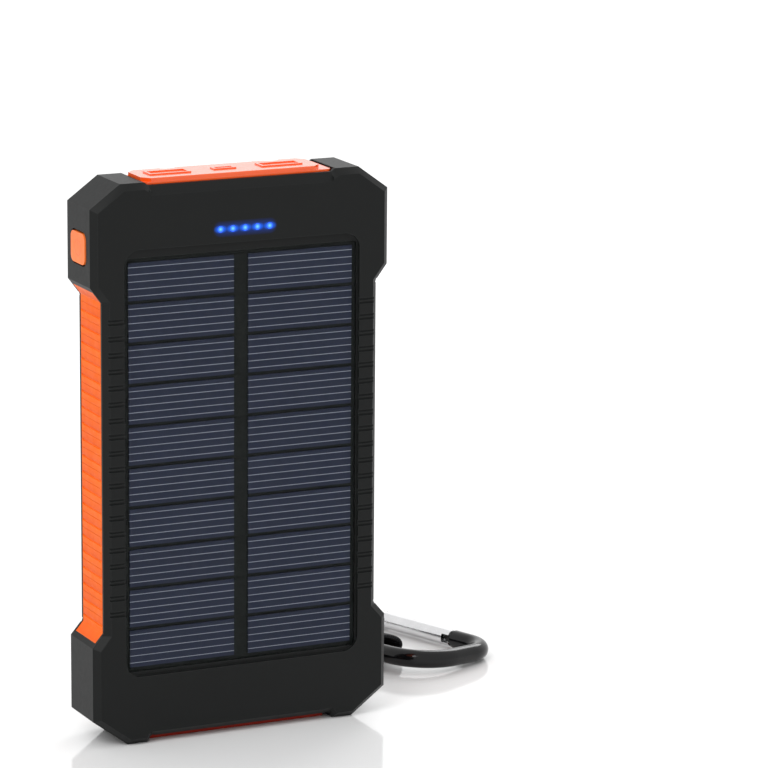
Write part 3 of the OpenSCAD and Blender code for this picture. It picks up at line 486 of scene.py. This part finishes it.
def torch_lens_material():
    """Frosted lens, lit white, a little brighter over each lamp."""
    s = Shader("torch_lens_lit", (0.9, 0.92, 0.95), 0.25)
    low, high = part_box("torch_leds")
    x, _, z = s.split()
    lamp_x = s.math("DIVIDE", s.math("SUBTRACT", x, low.x), (high.x - low.x) / TORCH_COLUMNS)
    lamp_z = s.math("DIVIDE", s.math("SUBTRACT", z, low.z), (high.z - low.z) / TORCH_ROWS)
    parts = [s.math("SUBTRACT", s.math("FRACT", v), 0.5) for v in (lamp_x, lamp_z)]
    squares = [s.math("POWER", v, 2.0) for v in parts]
    spot = s.math("SUBTRACT", 1.0, s.math("MULTIPLY", s.math("ADD", *squares), 1.2))
    s.set("Emission Color", s.mix(spot, (0.62, 0.74, 0.86), WHITE))
    s.main.inputs["Emission Strength"].default_value = 0.95
    s.bump(s.noise(0.5 * MM, 2), 0.02 * MM)
    return s.material


# ---------- fabrics ----------


def woven(name, dark, light, rib, roughness, depth, thread=0.25 * MM):
    """Woven tape: ribs across its length and twisted threads, drawn in the tape's own UV metres."""
    s = Shader(name, dark, roughness, specular=0.18)
    along, across, _ = s.split(s.uv)
    ribs = s.math("SINE", s.math("MULTIPLY", along, 2 * math.pi / rib))
    slant = s.math("ADD", across, s.math("MULTIPLY", along, 0.35))
    threads = s.math("SINE", s.math("MULTIPLY", slant, 2 * math.pi / thread))
    weave = s.math("ADD", s.math("MULTIPLY", ribs, 0.3), s.math("MULTIPLY", threads, 0.2))
    weave = s.math("ADD", weave, 0.5)
    fuzz = s.noise(0.35 * MM, 4)
    share = s.math("MULTIPLY", weave, fuzz, clamp=True)
    s.set("Base Color", s.mix(share, dark, light))
    s.set("Roughness", s.ramp(fuzz, (0.3, roughness - 0.1), (0.7, roughness + 0.08)))
    s.main.inputs["Sheen Weight"].default_value = 0.12
    s.main.inputs["Sheen Roughness"].default_value = 0.4
    s.bump(weave, depth)
    return s.material


# ---------- compass ----------


CHROME_EDGE = 0.42 * MM     # width of the chrome line on the bezel's outer edge
CHROME_LIP = 1.0 * MM       # how far in from the outer edge the inner line starts
TICK_COUNT = 60
DIAL_FINE_MARKS = 72
DIAL_COARSE_MARKS = 12
DIAL_WHITE = (0.8, 0.82, 0.82)


def polar(s, centre):
    """Distance from a point in the level plane, and the turn round it from 0 to 1."""
    x, y, _ = s.split()
    dx = s.math("SUBTRACT", x, centre.x)
    dy = s.math("SUBTRACT", y, centre.y)
    distance = s.root_of_squares(dx, dy)
    turn = s.math("ADD", s.math("DIVIDE", s.math("ARCTAN2", dy, dx), 2 * math.pi), 0.5)
    return distance, turn


def band(s, value, low, high):
    """1 where a value lies between low and high, and 0 elsewhere."""
    return s.math("MULTIPLY", s.math("GREATER_THAN", value, low), s.math("LESS_THAN", value, high))


def spokes(s, turn, count, share, shift=0.0):
    """1 inside each of count evenly spaced spokes that fill a share of the circle."""
    phase = s.math("FRACT", s.math("ADD", s.math("MULTIPLY", turn, float(count)), shift))
    return s.math("LESS_THAN", s.math("ABSOLUTE", s.math("SUBTRACT", phase, 0.5)), share / 2)


def dial_material(centre, radius):
    """Printed compass card: green centre, black ring, white marks and pale half points."""
    s = Shader("compass_dial_print", (0.02, 0.2, 0.08), 0.4)
    distance, turn = polar(s, centre)
    share = s.math("DIVIDE", distance, radius)
    green = s.mix(s.noise(1.2 * MM, 3), (0.01, 0.2, 0.07), (0.03, 0.34, 0.13))
    color = s.mix(s.math("GREATER_THAN", share, 0.74), green, (0.012, 0.014, 0.014))
    rose = s.math("MULTIPLY", band(s, share, 0.3, 0.72), spokes(s, turn, 4, 0.16, 0.5))
    halves = s.math("MULTIPLY", band(s, share, 0.3, 0.62), spokes(s, turn, 8, 0.12, 0.5))
    fine_turns = spokes(s, turn, DIAL_FINE_MARKS, 0.4)
    coarse_turns = spokes(s, turn, DIAL_COARSE_MARKS, 0.12, 0.5)
    fine = s.math("MULTIPLY", band(s, share, 0.88, 0.97), fine_turns)
    coarse = s.math("MULTIPLY", band(s, share, 0.78, 0.97), coarse_turns)
    ring = band(s, share, 0.73, 0.75)
    marks = s.math("MAXIMUM", s.math("MAXIMUM", fine, coarse), s.math("MAXIMUM", rose, ring))
    color = s.mix(s.math("MULTIPLY", halves, 0.5), color, (0.6, 0.75, 0.65))
    s.set("Base Color", s.mix(marks, color, DIAL_WHITE))
    s.bump(marks, 0.02 * MM)
    return s.material


def tick_ring_material(centre, inner, outer):
    """Black ring with white ticks under the edge of the dome."""
    s = Shader("tick_ring_print", (0.01, 0.011, 0.012), 0.35)
    distance, turn = polar(s, centre)
    share = s.math("DIVIDE", s.math("SUBTRACT", distance, inner), outer - inner)
    ticks = s.math("MULTIPLY", band(s, share, 0.3, 0.8), spokes(s, turn, TICK_COUNT, 0.42))
    black = s.mix(s.noise(1.0 * MM, 3), (0.008, 0.009, 0.01), (0.016, 0.017, 0.018))
    s.set("Base Color", s.mix(ticks, black, (0.75, 0.77, 0.78)))
    s.bump(ticks, 0.01 * MM)
    return s.material


def bezel_material():
    """Black ring with a chrome line along each edge."""
    s = Shader("bezel_chrome_lines", (0.01, 0.01, 0.011), 0.2)
    low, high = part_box("compass_bezel")
    distance, _ = polar(s, (low + high) / 2)
    outer = (high.x - low.x) / 2
    edge = s.math("GREATER_THAN", distance, outer - CHROME_EDGE)
    lip = s.math("LESS_THAN", distance, outer - CHROME_LIP)
    chrome = s.math("MAXIMUM", edge, lip)
    black = s.mix(s.noise(1.0 * MM, 3), (0.007, 0.0075, 0.008), (0.013, 0.0135, 0.014))
    s.set("Base Color", s.mix(chrome, black, (0.84, 0.84, 0.85)))
    s.set("Metallic", chrome)
    s.set("Roughness", s.ramp(s.noise(0.5 * MM, 4), (0.35, 0.07), (0.75, 0.16)))
    s.bump(chrome, 0.03 * MM)
    return s.material


# ---------- mesh helpers ----------


def new_piece(name, bm, material, smooth=True):
    """Turn a bmesh into a shown object in the row frame."""
    bmesh.ops.recalc_face_normals(bm, faces=bm.faces)
    mesh = bpy.data.meshes.new(name)
    bm.to_mesh(mesh)
    bm.free()
    for face in mesh.polygons:
        face.use_smooth = smooth
    mesh.materials.append(material)
    piece = bpy.data.objects.new(name, mesh)
    bpy.context.scene.collection.objects.link(piece)
    return piece


def curve_through(points, step):
    """Points about step apart along a smooth curve through the given 2D points."""
    ends = [2 * points[0] - points[1], *points, 2 * points[-1] - points[-2]]
    dense = []
    for before, a, b, after in zip(ends, ends[1:], ends[2:], ends[3:]):
        pieces = max(4, round((b - a).length / step * 4))
        for i in range(pieces):
            t = i / pieces
            dense.append(
                0.5
                * (
                    2 * a
                    + (b - before) * t
                    + (2 * before - 5 * a + 4 * b - after) * t * t
                    + (3 * a - before - 3 * b + after) * t**3
                )
            )
    dense.append(points[-1].copy())
    even = [dense[0]]
    gone = 0.0
    for a, b in zip(dense, dense[1:]):
        run = (b - a).length
        while gone + run >= step and run > 0:
            a = a.lerp(b, (step - gone) / run)
            even.append(a.copy())
            run = (b - a).length
            gone = 0.0
        gone += run
    return even


def tape_section(width, thickness, columns):
    """Closed outline of a woven tape: flat faces and round selvages, as (across, out) pairs."""
    half = width / 2
    edge = thickness / 2
    rows = [half - edge - (width - thickness) * i / columns for i in range(columns + 1)]
    top = [(a, edge) for a in rows]
    turns = [math.pi / 4, math.pi / 2, 3 * math.pi / 4]
    left = [(edge - half - edge * math.sin(t), edge * math.cos(t)) for t in turns]
    bottom = [(-a, -edge) for a in rows]
    right = [(-a, -b) for a, b in left]
    return top + left + bottom + right


def tape(name, path, width, thickness, columns, material, place, shape=None):
    """Sweep a tape's section along a path, and give the piece and the path's length.

    place(point, across) puts a point of the path's plane into the row frame. shape(gone, total,
    across, lift), if given, moves the section's points as it runs.
    """
    bm = bmesh.new()
    uv = bm.loops.layers.uv.new("UVMap")
    section = tape_section(width, thickness, columns)
    rings = []
    lengths = [0.0]
    for a, b in zip(path, path[1:]):
        lengths.append(lengths[-1] + (b - a).length)
    for i, (point, gone) in enumerate(zip(path, lengths)):
        ahead = path[min(i + 1, len(path) - 1)]
        behind = path[max(i - 1, 0)]
        way = (ahead - behind).normalized()
        out = Vector((-way.y, way.x))
        ring = []
        for across, lift in section:
            if shape:
                across, lift = shape(gone, lengths[-1], across, lift)
            at = point + out * lift
            ring.append(bm.verts.new(place(at, across)))
        rings.append(ring)
    count = len(section)
    for i, (near, far) in enumerate(zip(rings, rings[1:])):
        for j in range(count):
            k = (j + 1) % count
            face = bm.faces.new((near[j], near[k], far[k], far[j]))
            for loop, (step, column) in zip(face.loops, ((i, j), (i, k), (i + 1, k), (i + 1, j))):
                loop[uv].uv = (lengths[step], section[column][0])
    bm.faces.new(rings[0])
    bm.faces.new(list(reversed(rings[-1])))
    return new_piece(name, bm, material), lengths[-1]


def lathe(name, profile, centre, axis, material, steps=48):
    """Turned piece: a profile of (radius, height) pairs spun about an axis through centre."""
    bm = bmesh.new()
    turn = Vector((0, 0, 1)).rotation_difference(axis.normalized()).to_matrix()
    rings = []
    for radius, height in profile:
        if radius == 0:
            rings.append([bm.verts.new(centre + turn @ Vector((0, 0, height)))])
            continue
        ring = []
        for i in range(steps):
            angle = 2 * math.pi * i / steps
            spot = Vector((radius * math.cos(angle), radius * math.sin(angle), height))
            ring.append(bm.verts.new(centre + turn @ spot))
        rings.append(ring)
    for low, high in zip(rings, rings[1:]):
        for i in range(steps):
            k = (i + 1) % steps
            below = [low[i % len(low)], low[k % len(low)]]
            above = [high[k % len(high)], high[i % len(high)]]
            # a ring of one point at an end leaves three different corners
            bm.faces.new(list(dict.fromkeys(below + above)))
    return new_piece(name, bm, material)


WELD_GAP = 0.004 * MM       # closer points of a CAD mesh are the same point
SHARP_ANGLE = math.radians(28)
FACE_WEIGHT = 80            # how strongly the flat faces set the shading next to a rounded edge


def soften(node, width, segments=2):
    """Round a CAD node's sharp edges with modifiers."""
    piece = nodes[node]
    weld = piece.modifiers.new("weld", "WELD")
    weld.merge_threshold = WELD_GAP
    bevel = piece.modifiers.new("bevel", "BEVEL")
    bevel.width = width
    bevel.segments = segments
    bevel.limit_method = "ANGLE"
    bevel.angle_limit = SHARP_ANGLE
    bevel.use_clamp_overlap = True
    bevel.harden_normals = False
    normals = piece.modifiers.new("normals", "WEIGHTED_NORMAL")
    normals.keep_sharp = False
    normals.weight = FACE_WEIGHT
    for face in piece.data.polygons:
        face.use_smooth = True


def paint(material, *names):
    """Give CAD nodes a finish."""
    for name in names:
        for slot in nodes[name].material_slots:
            slot.material = material


# ---------- CAD nodes ----------


def finish_case():
    paint(front_plastic(), "front_shell")
    paint(back_plastic(), "back_shell")
    paint(ribbed_rubber(), "left_grip", "right_grip")
    paint(orange_rubber("orange_plug_rubber"), "screw_plugs")
    paint(cover_rubber(), "usb_cover")
    # painted shade: the bumper's orange is darkened to deep red, standing in for the shadow it lies
    # in under the case
    bumper = orange_rubber("bumper_rubber_darkened_as_shade", (0.26, 0.01, 0.003), (0.32, 0.015, 0.004), 0.5)
    paint(bumper, "bottom_bumper")
    paint(button_plastic(), "power_button")
    paint(plain_plastic("seal_rubber", (0.02, 0.02, 0.02), 0.7), "shell_seal")
    label = plain_plastic(
        "label_film", (0.0085, 0.0085, 0.009), 0.38, grain=0.5 * MM, specular=0.28
    )
    paint(label, "rating_label")
    for name in ("front_shell", "back_shell"):
        soften(name, 0.22 * MM)
    for name in ("left_grip", "right_grip", "screw_plugs"):
        soften(name, 0.2 * MM)
    soften("usb_cover", 0.2 * MM)
    soften("power_button", 0.4 * MM, 3)
    soften("rating_label", 0.12 * MM)
    soften("bottom_bumper", 0.4 * MM)


def finish_panel():
    laminate = plain_plastic("panel_laminate", (0.005, 0.0062, 0.0055), 0.6, specular=0.22)
    paint(laminate, "solar_board")
    paint(cell_material(), "solar_cells")
    paint(clear_cover("panel_film", 0.16, 0.5, 0.05), "solar_film")
    paint(light_pipe_material(), "light_pipes")


def finish_insides():
    paint(plain_plastic("lamp_package", (0.85, 0.83, 0.7), 0.35), "charge_lights", "torch_leds")
    green = plain_plastic("green_solder_mask", (0.012, 0.09, 0.035), 0.3, coat=0.5)
    paint(green, "light_board", "main_board")
    chips = plain_plastic("chip_moulding", (0.02, 0.02, 0.021), 0.55)
    paint(chips, "board_components", "button_switch")
    plating = brushed_metal("port_plating", (0.72, 0.72, 0.74), 0.3, "z")
    paint(plating, "usb_port_left", "usb_port_right", "micro_usb_port")
    paint(plain_plastic("port_tongue", (0.02, 0.08, 0.3), 0.4), "usb_tongues")
    paint(polished_metal("cell_foil", (0.72, 0.74, 0.76), 0.25), "battery_cell")
    paint(plain_plastic("pad_foam", (0.06, 0.06, 0.06), 0.9, 0.4, 0.6 * MM), "foam_pads")
    paint(plain_plastic("lead_insulation", (0.25, 0.01, 0.01), 0.5), "battery_leads")
    paint(plain_plastic("black_insulation", (0.015, 0.015, 0.015), 0.5), "solar_leads")
    paint(plain_plastic("white_solder_mask", (0.8, 0.8, 0.78), 0.4), "torch_board")
    paint(polished_metal("torch_plating", (0.9, 0.9, 0.9), 0.1), "torch_reflector")
    paint(torch_lens_material(), "torch_lens")
    paint(brushed_metal("zinc_plating", (0.6, 0.6, 0.62), 0.35, "y"), "screws", "strap_bar")


def finish_key_chain():
    paint(polished_metal("ring_nickel", (0.8, 0.74, 0.67), 0.07), "d_ring")
    backing = plain_plastic("backing_rubber", (0.02, 0.02, 0.023), 0.42, grain=0.4 * MM)
    paint(backing, "compass_backing")
    black = plain_plastic("compass_black_plastic", (0.011, 0.0115, 0.012), 0.36, grain=0.35 * MM)
    paint(black, "compass_plate", "compass_rim")
    paint(bezel_material(), "compass_bezel")
    paint(clear_cover("compass_dome_clear", 0.03, 0.75, 0.0), "compass_dome")
    paint(polished_metal("pivot_brass", (0.85, 0.62, 0.3), 0.12), "compass_pivot")
    paint(plain_plastic("ferrite", (0.05, 0.05, 0.052), 0.6), "card_magnets")
    low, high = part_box("compass_card")
    paint(dial_material((low + high) / 2, (high.x - low.x) / 2), "compass_card")
    hook = plain_plastic(
        "hook_black_anodised", (0.0035, 0.0035, 0.004), 0.13, grain=0.8 * MM, specular=0.32
    )
    paint(hook, "hook_frame")
    paint(brushed_metal("gate_aluminium", (0.83, 0.83, 0.84), 0.2, "y"), "hook_gate")
    paint(brushed_metal("spring_steel", (0.6, 0.6, 0.62), 0.3, "z"), "gate_spring")
    soften("compass_plate", 0.5 * MM, 3)
    soften("compass_backing", 0.5 * MM, 3)
    soften("compass_rim", 0.12 * MM)
    soften("hook_gate", 0.25 * MM)
    soften("hook_frame", 0.3 * MM)


# ---------- key chain pieces ----------

STRAP_X = 1.3 * MM          # the strap's middle, across the case
STRAP_WIDTH = 10 * MM
STRAP_THICK = 0.72 * MM
RING_Y = 22.2 * MM          # the ring's centre, behind the case
CHAIN_TURN = math.radians(20)
WEBBING_HALF = 10 * MM
WEBBING_THICK = 1.0 * MM
WEBBING_RIB = 0.85 * MM
WEBBING_RIB_DEPTH = 0.144 * MM
WEBBING_SELVAGE = 1.2 * MM  # the ribs fade out over this width at each edge
WEBBING_WAVE = 0.4 * MM
RIVET_HALF = 2.35           # mm, half the rivet's length
RIVET_TILT = math.radians(3.2)
UPWARDS = Vector((0, 0, 1))


def on_chain(along, across, height):
    """Point in the row frame from the chain's own frame, whose origin is the ring's centre."""
    c, s = math.cos(CHAIN_TURN), math.sin(CHAIN_TURN)
    return Vector((STRAP_X + c * along - s * across, RING_Y + s * along + c * across, height))


def add_strap():
    """Short doubled tape from the slot in the back, round the ring's wire."""
    # (distance behind the case's middle, height) in mm: out, down, round the wire, and back
    out_and_down = [
        (4.4, 27.75), (7.2, 27.7), (8.8, 27.45), (9.62, 26.5), (9.78, 25.0), (9.78, 20.0),
        (9.76, 14.0), (9.75, 10.0),
    ]
    round_wire = [
        (10.1, 7.3), (11.2, 5.75), (12.7, 5.3), (13.75, 4.1), (13.8, 2.5), (12.8, 1.2),
        (11.4, 0.78), (10.0, 1.2), (9.1, 2.5),
    ]
    up_and_in = [
        (8.93, 4.2), (8.93, 10.0), (8.93, 14.0), (8.93, 20.0), (8.93, 25.0), (8.7, 26.2),
        (8.0, 26.7), (7.0, 26.72), (4.4, 26.75),
    ]
    points = out_and_down + round_wire + up_and_in
    path = curve_through([Vector(p) * MM for p in points], 0.3 * MM)
    material = woven(
        "strap_weave", (0.018, 0.018, 0.0185), (0.05, 0.05, 0.051), 0.55 * MM, 0.72, 0.03 * MM
    )
    piece, length = tape(
        "strap_tape", path, STRAP_WIDTH, STRAP_THICK, 16, material,
        lambda at, across: Vector((STRAP_X + across, at.x, at.y)),
    )
    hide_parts("strap_root", "ring_strap")
    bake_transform(piece)


def add_webbing():
    """Ribbed nylon band from the backing, looping loosely over the hook's spine and back."""
    # (distance along the chain from the ring's centre, height) in mm
    over_spine = [
        (30.2, 2.95), (33.5, 3.0), (37.0, 3.7), (42.0, 5.3), (47.0, 6.6), (51.0, 7.2), (54.5, 7.35),
        (58.0, 7.1), (61.5, 6.3), (64.0, 5.0), (65.0, 3.4),
    ]
    back_below = [
        (64.2, 1.9), (62.0, 1.15), (58.0, 0.95), (54.0, 0.92), (49.0, 0.92), (43.0, 0.95),
        (37.0, 1.15), (33.5, 1.5), (30.2, 1.75),
    ]
    path = curve_through([Vector(p) * MM for p in over_spine + back_below], 0.15 * MM)

    def ribbed(gone, total, across, lift):
        """Cross ribs, and a loose wave that dies out at the held ends."""
        edge = min(1.0, (WEBBING_HALF - abs(across)) / WEBBING_SELVAGE)
        ridge = 0.5 + 0.5 * math.cos(2 * math.pi * gone / WEBBING_RIB)
        deep = WEBBING_RIB_DEPTH * ridge * max(0.25, edge)
        wave = noise.noise(Vector((gone / (7 * MM), across / (9 * MM), 3.1)))
        side = noise.noise(Vector((gone / (5 * MM), 8.7, 1.0 if across > 0 else 5.0)))
        loose = math.sin(math.pi * min(1.0, gone / total)) ** 2
        across = across * (1 + 0.02 * side * loose)
        return across, lift - math.copysign(deep, lift) + wave * WEBBING_WAVE * loose

    material = woven(
        "webbing_nylon", (0.0035, 0.004, 0.0055), (0.02, 0.021, 0.026), WEBBING_RIB, 0.6,
        0.09 * MM, 0.7 * MM,
    )
    piece, length = tape(
        "webbing_band", path, 2 * WEBBING_HALF, WEBBING_THICK, 30, material,
        lambda at, across: on_chain(at.x, across, at.y), ribbed,
    )
    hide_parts("webbing")
    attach(piece, "compass")


def in_metres(profile):
    """A profile of (radius, height) pairs, drawn in mm."""
    return [(radius * MM, height * MM) for radius, height in profile]


def add_compass_details():
    """Stepped brass cap on the card, and the ring of ticks round it."""
    low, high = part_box("compass_card")
    centre = (low + high) / 2
    top = Vector((centre.x, centre.y, high.z))
    brass = polished_metal("cap_brass", (0.88, 0.72, 0.45), 0.08)
    profile = [
        (0, 0), (1.75, 0), (1.85, 0.1), (1.8, 0.35), (1.35, 0.5), (1.15, 0.65), (1.12, 0.85),
        (1.25, 0.95), (1.28, 1.15), (1.1, 1.32), (0.7, 1.42), (0, 1.46),
    ]
    cap = lathe("compass_cap", in_metres(profile), top, UPWARDS, brass)
    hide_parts("card_jewel")
    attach(cap, "card")
    inner, outer = 7.8 * MM, 8.48 * MM
    ring_low, ring_high = 6.65 * MM, 8.2 * MM
    section = [
        (inner, ring_low), (outer, ring_low), (outer, ring_high),
        (inner + 0.1 * MM, ring_high - 0.3 * MM), (inner, ring_low),
    ]
    middle = Vector((centre.x, centre.y, 0))
    ticks = tick_ring_material(centre, inner, outer)
    ring = lathe("tick_ring", section, middle, UPWARDS, ticks, 96)
    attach(ring, "compass")


def add_rivet():
    """Rivet with a low round head at each end, through the gate's fork."""
    low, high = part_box("gate_pin")
    centre = (low + high) / 2
    axis = on_chain(math.sin(RIVET_TILT), 0, math.cos(RIVET_TILT)) - on_chain(0, 0, 0)
    steel = polished_metal("rivet_steel", (0.82, 0.82, 0.83), 0.1)
    # (radius, depth below the end) of one head, from its tip down to the shank
    head = [(0, 0), (0.7, 0.02), (1.2, 0.2), (1.35, 0.42), (0.74, 0.55)]
    lower = [(radius, depth - RIVET_HALF) for radius, depth in head]
    upper = [(radius, RIVET_HALF - depth) for radius, depth in reversed(head)]
    rivet = lathe("gate_rivet", in_metres(lower + upper), centre, axis, steel)
    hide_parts("gate_pin")
    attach(rivet, "hook")


# ---------- stage ----------


FLOOR_SIZE = 12
FLOOR_GAP = 0.05 * MM       # the floor lies this far below the case's feet
SKY_STRENGTH = 0.95


def add_area(name, place, aim, size, power):
    """A round soft lamp of a size in metres and a power in watts."""
    data = bpy.data.lights.new(name, "AREA")
    data.shape = "DISK"
    data.size = size
    data.energy = power
    light = bpy.data.objects.new(name, data)
    light.location = place
    light.rotation_euler = (Vector(aim) - Vector(place)).to_track_quat("-Z", "Y").to_euler()
    bpy.context.scene.collection.objects.link(light)


def add_stage():
    """Bright seamless floor, a white sky, two large soft lamps and a weak one behind the case."""
    bpy.context.scene.view_settings.view_transform = "Standard"
    bpy.ops.mesh.primitive_plane_add(size=FLOOR_SIZE, location=(0, 0, -FLOOR_GAP))
    floor = bpy.context.object
    floor.name = "floor"
    s = Shader("floor_white", (0.9, 0.9, 0.9), 0.1, specular=0.5)
    s.set("Base Color", s.mix(s.noise(0.4, 2), (0.88, 0.88, 0.88), (0.92, 0.92, 0.92)))
    floor.data.materials.append(s.material)
    world = bpy.data.worlds.new("sky")
    world.use_nodes = True
    sky = world.node_tree.nodes["Background"]
    sky.inputs["Color"].default_value = (*WHITE, 1)
    sky.inputs["Strength"].default_value = SKY_STRENGTH
    bpy.context.scene.world = world
    add_area("key_lamp", (-0.9, -0.7, 1.2), (0, 0, 0.07), 0.8, 9)
    add_area("fill_lamp", (0.9, 0.9, 0.9), (0, 0, 0.05), 0.7, 5)
    # low behind the case, where the glossy port cover mirrors it towards the camera
    add_area("rim_lamp", (0.56, 1.16, 0.43), (0, 0, 0.14), 0.6, 0.3)


add_camera()
finish_case()
finish_panel()
finish_insides()
finish_key_chain()
add_strap()
add_webbing()
add_compass_details()
add_rivet()
add_stage()
